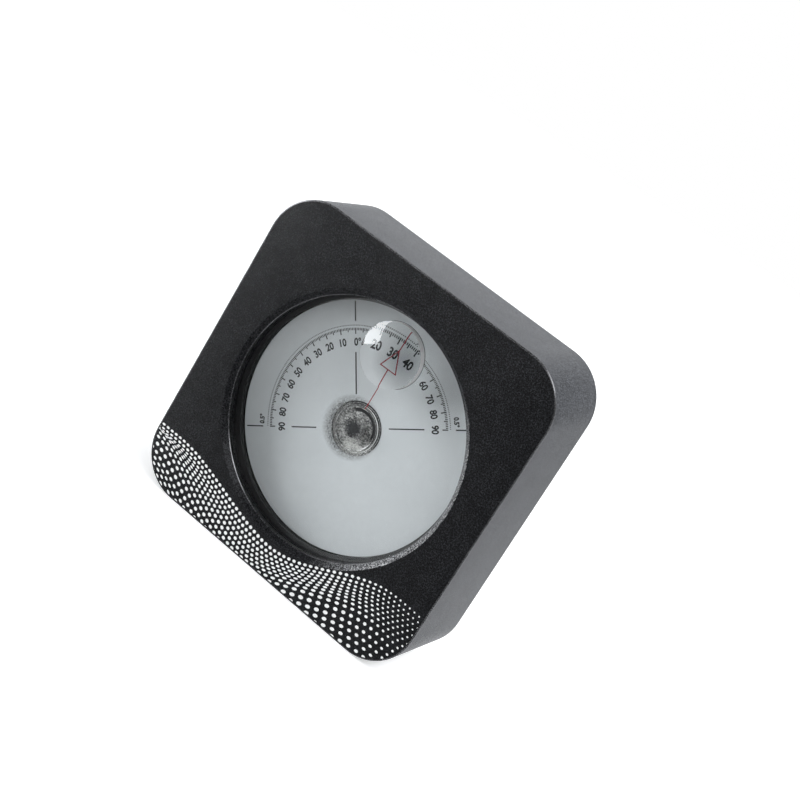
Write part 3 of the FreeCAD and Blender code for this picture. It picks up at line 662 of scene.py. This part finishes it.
def dial_hub():
    bm = bmesh.new()
    step = []
    for k in range(0, 9):  # hollow step between the dish and the plate, with its painted highlight
        t = math.pi / 2 * k / 8
        step.append((4.64 + 0.52 * math.sin(t), HUB_D + 0.02 + 0.14 * math.cos(t), 1))
    outline = (
        [(0.76, HUB_D + 0.16, 0), (3.84, HUB_D + 0.16, 0), (3.9, HUB_D + 0.18, 2), (4.6, HUB_D + 0.18, 2)]
        + step
        + [(5.2, HUB_D, 1), (5.32, HUB_D, 2), (5.4, HUB_D + 0.02, 2), (5.55, HUB_D + 0.02, 2), (5.62, HUB_D, 0), (5.74, HUB_D, 0), (5.8, HUB_D + 0.02, 2), (7.2, HUB_D + 0.02, 2), (9.3, HUB_D + 0.02, 0), (9.5, HUB_D + 0.15, 0), (9.5, HUB_D + 0.7, 0), (9.4, HUB_D + 0.8, 0), (2.2, HUB_D + 0.8, 0), (2.0, HUB_D + 1.0, 0), (2.0, HUB_D + 3.7, 0), (1.9, HUB_D + 3.8, 0), (0.76, HUB_D + 3.8, 0)]
    )
    loops = lathe(bm, outline, 192)
    bridge(bm, loops[-1], loops[0], 0)
    obj = new_piece("hub_plate", bm, "dial", HUB, 40.0)
    for extra in (STEP_PAINTED_HIGHLIGHT, STEP_PAINTED_SHADOW):
        obj.data.materials.append(extra)
    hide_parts("dial_hub")
    return obj


dial_hub()

# ---------------------------------------------------------------------------
# Print on the dial: thin solids standing a hair above the disc's face.
# ---------------------------------------------------------------------------
DIAL_D = 9.7
INK = 0.012


def slab(bm, points, d_top, d_bottom):
    """A closed thin solid from a convex outline of (x, z) points."""
    top = [bm.verts.new(at(x, d_top, z)) for x, z in points]
    low = [bm.verts.new(at(x, d_bottom, z)) for x, z in points]
    n = len(points)
    bm.faces.new(top)
    bm.faces.new(low[::-1])
    for k in range(n):
        bm.faces.new((top[k], low[k], low[(k + 1) % n], top[(k + 1) % n]))


def dial_bar(bm, angle, r0, r1, width, cant=0.0):
    """A straight radial mark, angle in degrees clockwise from the zero."""
    a = math.radians(angle)
    ux, uz = math.sin(a), math.cos(a)
    vx, vz = uz, -ux
    pts = []
    for r, s in ((r0, -1), (r1, -1), (r1, 1), (r0, 1)):
        x, z = ux * r + vx * s * width / 2, uz * r + vz * s * width / 2
        pts.append(turned(x, z))
    slab(bm, pts, DIAL_D - INK, DIAL_D + 0.01)


def letters(bm, words, height, narrow, angle, radius, lift=0.0, shift=0.0):
    """Plain lettering set across a radius, its top outwards."""
    cu = bpy.data.curves.new("lettering", "FONT")
    cu.body = words
    cu.size = 1.0
    cu.align_x = "CENTER"
    cu.extrude = 0.01
    cu.resolution_u = 6
    cu.offset = lift
    ob = bpy.data.objects.new("lettering", cu)
    scene.collection.objects.link(ob)
    bpy.context.view_layer.update()
    me = bpy.data.meshes.new_from_object(ob.evaluated_get(bpy.context.evaluated_depsgraph_get()))
    bpy.data.objects.remove(ob)
    bpy.data.curves.remove(cu)
    cap_h = 0.73
    k = height / cap_h
    a = math.radians(angle)
    ca, sa = math.cos(a), math.sin(a)
    sub = bmesh.new()
    sub.from_mesh(me)
    bpy.data.meshes.remove(me)
    bmesh.ops.remove_doubles(sub, verts=sub.verts, dist=1e-5)
    made = {}
    for v in sub.verts:
        lx, lz = v.co.x * k * narrow + shift, (v.co.y - cap_h / 2) * k + radius
        x, z = lx * ca + lz * sa, -lx * sa + lz * ca
        x, z = turned(x, z)
        d = DIAL_D - INK if v.co.z > 0 else DIAL_D + 0.01
        made[v.index] = bm.verts.new(at(x, d, z))
    for f in sub.faces:
        bm.faces.new([made[v.index] for v in f.verts])
    sub.free()


def dial_print():
    bm = bmesh.new()
    for a in range(-90, 91):
        if a % 10 == 0:
            length, width = 1.36, 0.26
        elif a % 5 == 0:
            length, width = 0.95, 0.23
        else:
            length, width = 0.56, 0.2
        dial_bar(bm, a, 22.4 - length, 22.4, width)
    for k in range(-90, 90):
        dial_bar(bm, k + 0.5, 22.83, 23.07, 0.17)
    for a in range(-90, 91, 10):
        if a:
            letters(bm, str(abs(a)), 1.68, 0.85, a, 19.35, 0.034)
    letters(bm, "0°", 1.68, 0.85, 0, 19.35, 0.034, 0.5)
    for side in (-1, 1):
        letters(bm, "0.5°", 1.14, 0.88, side * 86.0, 24.5, 0.05)
    dial_bar(bm, 0, 23.85, 28.25, 0.34)
    dial_bar(bm, 0, 7.6, 17.0, 0.34)
    for side in (-90, 90):
        dial_bar(bm, side, 24.2, 28.5, 0.28)
        dial_bar(bm, side, 8.0 if side > 0 else 10.3, 16.7, 0.28)
    return new_piece("dial_print", bm, "dial", PRINT, 30.0)


dial_print()

# ---------------------------------------------------------------------------
# Halftone band on the front face: a plain dot screen bent over a wave. The
# guide gives (x, z) of a few screen lines. Dots between them are interpolated,
# and each dot takes its shape from how far the screen is stretched there.
# ---------------------------------------------------------------------------
GUIDE_U = [-33, -29, -26, -23, -20, -16, -12, -7, -2, 3, 8, 12, 15, 18, 21, 24, 28]
GUIDE_V = [0, 1, 2, 4, 6, 8, 10, 12, 14]
GUIDE = [
    [(-41.6, -26.5), (-36.1, -26.5), (-32.1, -26.5), (-28.0, -26.9), (-24.0, -27.7), (-18.6, -29.1), (-13.3, -30.6), (-6.6, -32.2), (0.1, -32.9), (6.8, -31.6), (13.6, -28.6), (19.1, -25.8), (23.3, -24.0), (27.4, -22.7), (31.5, -22.2), (35.6, -22.2), (41.2, -22.4)],
    [(-42.5, -27.3), (-37.1, -27.4), (-33.0, -27.4), (-28.8, -27.8), (-24.7, -28.6), (-19.2, -30.1), (-13.8, -31.7), (-7.2, -33.4), (-0.4, -34.1), (6.7, -32.7), (13.6, -29.6), (19.3, -26.9), (23.4, -25.1), (27.6, -23.7), (31.8, -23.3), (36.0, -23.4), (41.7, -23.5)],
    [(-43.6, -27.8), (-38.1, -27.9), (-34.1, -28.1), (-29.9, -28.4), (-25.7, -29.3), (-20.1, -30.9), (-14.6, -32.6), (-7.8, -34.5), (-1.0, -35.2), (6.2, -33.7), (13.5, -30.5), (19.4, -27.8), (23.8, -26.0), (28.0, -24.7), (32.2, -24.3), (36.6, -24.5), (42.4, -24.7)],
    [(-46.4, -28.4), (-41.2, -28.2), (-37.3, -28.2), (-33.1, -28.9), (-28.6, -29.9), (-22.8, -31.8), (-17.1, -34.0), (-9.9, -36.5), (-2.8, -37.3), (4.9, -35.7), (13.1, -32.2), (19.7, -29.4), (24.4, -27.5), (28.9, -26.4), (33.3, -26.3), (37.9, -26.6), (43.9, -27.1)],
    [(-49.4, -28.8), (-44.6, -28.3), (-41.0, -28.0), (-36.7, -28.6), (-32.1, -30.0), (-26.0, -32.5), (-20.0, -35.2), (-12.6, -38.3), (-4.8, -39.4), (3.3, -37.7), (12.6, -33.9), (20.0, -30.7), (25.2, -28.9), (30.2, -28.1), (34.8, -28.3), (39.5, -29.1), (45.6, -29.7)],
    [(-52.4, -29.4), (-47.7, -28.9), (-44.2, -28.8), (-40.1, -29.5), (-35.1, -30.8), (-28.6, -33.7), (-22.4, -37.0), (-14.8, -40.2), (-6.5, -41.4), (2.2, -40.1), (12.4, -35.9), (20.7, -32.6), (26.4, -30.8), (31.6, -30.3), (36.5, -31.0), (41.4, -31.9), (47.5, -32.4)],
    [(-55.0, -30.3), (-50.3, -30.2), (-46.5, -30.5), (-42.1, -31.7), (-37.0, -33.2), (-30.2, -36.1), (-23.7, -39.5), (-16.1, -42.2), (-7.4, -43.2), (2.3, -42.4), (13.1, -38.8), (21.7, -35.4), (27.7, -33.9), (33.3, -33.7), (38.7, -34.4), (43.5, -34.8), (49.4, -35.1)],
    [(-57.3, -31.5), (-52.4, -31.7), (-48.5, -32.2), (-44.2, -33.3), (-39.5, -34.6), (-32.6, -37.2), (-25.6, -40.9), (-17.0, -43.7), (-7.7, -44.8), (2.7, -44.1), (14.0, -41.3), (23.0, -38.2), (29.6, -36.9), (35.8, -37.0), (40.9, -37.4), (45.5, -37.6), (51.2, -37.7)],
    [(-59.2, -33.0), (-54.2, -33.3), (-50.3, -33.8), (-46.1, -34.7), (-41.6, -35.8), (-34.9, -38.2), (-27.3, -41.8), (-17.8, -44.8), (-7.8, -46.0), (3.1, -45.5), (14.9, -43.3), (24.5, -41.0), (31.4, -40.0), (37.4, -39.9), (42.5, -40.1), (47.0, -40.2), (52.7, -40.3)],
]


def curve(places, values, t):
    """A smooth curve through the values, two numbers each."""
    i = 0
    while i < len(places) - 2 and t > places[i + 1]:
        i += 1
    before, after = max(i - 1, 0), min(i + 2, len(places) - 1)
    span = places[i + 1] - places[i]
    k = (t - places[i]) / span
    k2, k3 = k * k, k * k * k
    out = []
    for c in (0, 1):
        p1, p2 = values[i][c], values[i + 1][c]
        m1 = (p2 - values[before][c]) / (places[i + 1] - places[before]) * span
        m2 = (values[after][c] - p1) / (places[after] - places[i]) * span
        out.append((2 * k3 - 3 * k2 + 1) * p1 + (k3 - 2 * k2 + k) * m1 + (-2 * k3 + 3 * k2) * p2 + (k3 - k2) * m2)
    return out


def screen(u, v):
    """Where the screen's point (u along a row, v rows down) lies on the face."""
    return curve(GUIDE_V, [curve(GUIDE_U, row, u) for row in GUIDE], v)


def blend(x, stops):
    """Straight-line table look-up."""
    if x <= stops[0][0]:
        return stops[0][1]
    for (x0, v0), (x1, v1) in zip(stops, stops[1:]):
        if x <= x1:
            return v0 + (v1 - v0) * (x - x0) / (x1 - x0)
    return stops[-1][1]


def clip(points, half, radius):
    """Cuts a convex outline to the rounded square of the front face."""
    def keep_side(pts, nx, nz, c):
        out = []
        for i, p in enumerate(pts):
            q = pts[(i + 1) % len(pts)]
            a, b = nx * p[0] + nz * p[1] - c, nx * q[0] + nz * q[1] - c
            if a <= 0:
                out.append(p)
            if (a < 0 < b) or (b < 0 < a):
                t = a / (a - b)
                out.append((p[0] + t * (q[0] - p[0]), p[1] + t * (q[1] - p[1])))
        return out
    pts = points
    for nx, nz in ((1, 0), (-1, 0), (0, -1)):
        pts = keep_side(pts, nx, nz, half)
        if len(pts) < 3:
            return []
    corner = half - radius
    for side in (-1, 1):
        if any(p[0] * side > corner and p[1] < -corner for p in pts):
            for k in range(1, 18):
                a = math.pi / 2 * k / 18
                nx, nz = side * math.sin(a), -math.cos(a)
                pts = keep_side(pts, nx, nz, corner * (abs(nx) + abs(nz)) + radius)
                if len(pts) < 3:
                    return []
    return pts


def halftone():
    bm = bmesh.new()
    half, radius = 39.45, 11.45

    def dot(x, z, wide, high, lean):
        pts = []
        for k in range(16):
            a = 2 * math.pi * k / 16
            ex, ez = wide * math.cos(a), high * math.sin(a)
            pts.append((x + ex * math.cos(lean) - ez * math.sin(lean), z + ex * math.sin(lean) + ez * math.cos(lean)))
        if max(p[1] for p in pts) < -39.6 or min(math.hypot(*p) for p in pts) < 31.32:
            return
        pts = clip(pts, half, radius)
        if len(pts) > 2:
            slab(bm, pts, 0.0, SKIN + 0.01)

    for v in range(15):
        for u in range(-33, 29):
            x, z = screen(u, v)
            if abs(x) > 41.5 or z < -41.5:
                continue
            (x0, z0), (x1, z1) = screen(u - 0.5, v), screen(u + 0.5, v)
            (x2, z2), (x3, z3) = screen(u, max(v - 0.5, 0)), screen(u, min(v + 0.5, 14))
            rows = min(v + 0.5, 14) - max(v - 0.5, 0)
            ax, az = x1 - x0, z1 - z0
            bx, bz = (x3 - x2) / rows, (z3 - z2) / rows
            pitch = math.hypot(ax, az)
            apart = abs(ax * bz - az * bx) / pitch
            wide = pitch * blend(u, [(-33, 0.33), (8, 0.31), (17, 0.25), (20, 0.2), (25, 0.15), (28, 0.13)]) * blend(v, [(0, 1.0), (6, 0.97), (12, 0.9)])
            high = apart * blend(u, [(-33, 0.31), (0, 0.34), (10, 0.36), (17, 0.26), (20, 0.22), (25, 0.17), (28, 0.15)]) * blend(v, [(0, 1.0), (5, 1.0), (8, 0.86), (12, 0.8)])
            dot(x, z, wide, max(high, 0.085), math.atan2(az, ax))
    return new_piece("face_dots", bm, "housing", DOTS, 30.0)


halftone()

# ---------------------------------------------------------------------------
# Camera: where the photograph was taken from, seen from the object.
# ---------------------------------------------------------------------------
right = Vector((0.73876625, 0.45203455, 0.49988918))
down = Vector((0.58090542, -0.05100879, -0.81237122))
ahead = Vector((-0.34172112, 0.89054077, -0.30027289))
cam_data = bpy.data.cameras.new("camera")
cam_data.lens = 77.23
cam_data.sensor_width = 36.0
cam_data.clip_start, cam_data.clip_end = 0.01, 50.0
cam = bpy.data.objects.new("camera", cam_data)
scene.collection.objects.link(cam)
cam.matrix_world = Matrix(
    (
        (right.x, -down.x, -ahead.x, 0.135328),
        (right.y, -down.y, -ahead.y, -0.343523),
        (right.z, -down.z, -ahead.z, 0.165773),
        (0, 0, 0, 1),
    )
)
scene.camera = cam

# ---------------------------------------------------------------------------
# Stage: a pale floor and soft light all round, with one large bright window to
# the left. The light's up is the photograph's up, in which the dial is level.
# ---------------------------------------------------------------------------
UP = Vector((-0.5621, 0.0, 0.8271))
BEHIND = (ahead - UP * ahead.dot(UP)).normalized()


def studio():
    world = bpy.data.worlds.new("studio")
    scene.world = world
    world.use_nodes = True
    t = world.node_tree
    t.nodes.clear()

    def node(kind, **kw):
        n = t.nodes.new(kind)
        for k, v in kw.items():
            setattr(n, k, v)
        return n

    def dot(vec):
        n = node("ShaderNodeVectorMath", operation="DOT_PRODUCT")
        t.links.new(coord.outputs["Generated"], n.inputs[0])
        n.inputs[1].default_value = tuple(vec)
        return n.outputs["Value"]

    def step(source, lo, hi, out_lo=0.0, out_hi=1.0):
        n = node("ShaderNodeMapRange", interpolation_type="SMOOTHSTEP")
        for i, v in zip((1, 2, 3, 4), (lo, hi, out_lo, out_hi)):
            n.inputs[i].default_value = v
        t.links.new(source, n.inputs[0])
        return n.outputs[0]

    def calc(op, a, b):
        n = node("ShaderNodeMath", operation=op)
        for i, v in enumerate((a, b)):
            if isinstance(v, (int, float)):
                n.inputs[i].default_value = v
            else:
                t.links.new(v, n.inputs[i])
        return n.outputs[0]

    coord = node("ShaderNodeTexCoord")
    path = node("ShaderNodeLightPath")
    back = step(dot(BEHIND), -0.6, 0.3)
    rise = dot(UP)
    across = dot(BEHIND.cross(UP))
    # the near side of the room, from the floor up: pale table, a dim band at
    # the height of the viewer, bright wall above, darker ceiling
    wall = node("ShaderNodeValToRGB")
    wall.color_ramp.interpolation = "LINEAR"
    stops = [(-1.0, 0.6), (-0.45, 0.66), (-0.33, 0.38), (-0.22, 0.13), (-0.1, 0.13), (0.0, 0.44), (0.07, 0.88), (0.2, 1.04), (0.5, 1.0), (0.7, 0.44), (1.0, 0.22)]
    el = wall.color_ramp.elements
    while len(el) < len(stops):
        el.new(0.5)
    for e, (h, v) in zip(el, stops):
        e.position = (h + 1) / 2
        e.color = (v, v, v, 1.0)
    t.links.new(calc("MULTIPLY", calc("ADD", rise, 1.0), 0.5), wall.inputs["Fac"])
    dim_table = calc("MULTIPLY", step(across, 0.0, 0.35), step(rise, -0.35, -0.25, 1.0, 0.0))
    lamp_right = calc("MULTIPLY", calc("MULTIPLY", step(across, 0.05, 0.35), step(rise, 0.05, 0.16)), step(rise, 0.55, 0.75, RIGHT_LAMP, 0.0))
    gap = calc("MULTIPLY", calc("MULTIPLY", step(across, -0.72, -0.5), step(across, -0.1, 0.06, 1.0, 0.0)), step(dot(BEHIND), -0.55, -0.35, 0.8, 0.0))
    wall_level = calc("MULTIPLY", wall.outputs["Color"], calc("SUBTRACT", 1.0, gap))
    near = calc("ADD", calc("MULTIPLY", wall_level, calc("SUBTRACT", 1.0, calc("MULTIPLY", dim_table, 0.6))), lamp_right)
    band = calc("SUBTRACT", 1.25, calc("MULTIPLY", calc("MULTIPLY", step(rise, -0.4, -0.3), step(rise, 0.16, 0.4, 1.0, 0.0)), 0.62))
    far_table = step(rise, -0.4, -0.3, 1.2, 0.0)
    behind = calc("ADD", calc("MULTIPLY", band, step(rise, -0.4, -0.3)), far_table)
    level = calc("ADD", calc("MULTIPLY", near, calc("SUBTRACT", 1.0, back)), calc("MULTIPLY", back, behind))
    shade = step(dot(Vector((-0.25, -0.35, 0.9)).normalized()), 0.8, 0.9, 1.0, 0.06)
    level = calc("MULTIPLY", level, shade)
    c1 = Vector((-0.636, -0.746, -0.198))
    c2 = Vector((-0.873, -0.245, -0.422))
    c3 = Vector((-0.757, -0.579, 0.303))
    floor_edge = c2.cross(c1).normalized()
    if floor_edge.dot(UP) < 0:
        floor_edge = -floor_edge
    side_edge = c1.cross(c3).normalized()
    if side_edge.dot(c2) < 0:
        side_edge = -side_edge
    inside = calc("MULTIPLY", step(dot(floor_edge), 0.0, 0.02), step(dot(side_edge), 0.0, 0.02))
    top = step(dot(UP), math.sin(math.radians(50)), math.sin(math.radians(56)), 1.0, 0.0)
    far = step(dot(BEHIND), 0.12, 0.2, 1.0, 0.0)
    window = calc("MULTIPLY", calc("MULTIPLY", inside, top), far)
    strength = calc("SUBTRACT", WINDOW, calc("MULTIPLY", path.outputs["Is Glossy Ray"], WINDOW - WINDOW_SEEN))
    level = calc("ADD", level, calc("MULTIPLY", window, strength))
    lamp = node("ShaderNodeBackground")
    lamp.inputs["Color"].default_value = (0.965, 0.985, 1.0, 1.0)
    t.links.new(level, lamp.inputs["Strength"])
    seen = node("ShaderNodeBackground")
    seen.inputs["Color"].default_value = (1.0, 1.0, 1.0, 1.0)
    mix = node("ShaderNodeMixShader")
    t.links.new(path.outputs["Is Camera Ray"], mix.inputs[0])
    t.links.new(lamp.outputs[0], mix.inputs[1])
    t.links.new(seen.outputs[0], mix.inputs[2])
    out = node("ShaderNodeOutputWorld")
    t.links.new(mix.outputs[0], out.inputs["Surface"])


WINDOW = 6.2
WINDOW_SEEN = 8.0  # the same window as the polished lens shows it
RIGHT_LAMP = 3.1
studio()

bm = bmesh.new()
bmesh.ops.create_circle(bm, cap_ends=True, cap_tris=False, segments=96, radius=3.0)
floor_mesh = bpy.data.meshes.new("floor")
bm.to_mesh(floor_mesh)
bm.free()
floor = bpy.data.objects.new("floor", floor_mesh)
scene.collection.objects.link(floor)
fm = Mat("floor_paper")
fn = fm.noise(40.0, 3.0, 0.5)
far = fm.add("ShaderNodeVectorMath", operation="LENGTH")
fm.link(fm.coord.outputs["Object"], far.inputs[0])
fade = fm.span(far.outputs["Value"], 0.25, 0.9, 0.0, 1.0)
paper = fm.mix(fade, fm.ramp(fn.outputs["Fac"], [(0.3, (0.9, 0.9, 0.9)), (0.7, (0.93, 0.93, 0.93))]), (0, 0, 0))
glow = fm.mix(fade, (0.46, 0.46, 0.46), (1.0, 1.0, 1.0))
fm.shader(Base_Color=paper, Roughness=0.9, Specular_IOR_Level=0.0, Emission_Color=glow, Emission_Strength=1.0)
floor_mesh.materials.append(fm.mat)
floor.visible_shadow = False
floor.visible_glossy = False
floor.visible_diffuse = False
floor.visible_transmission = False

scene.view_settings.view_transform = "Standard"
scene.view_settings.look = "None"
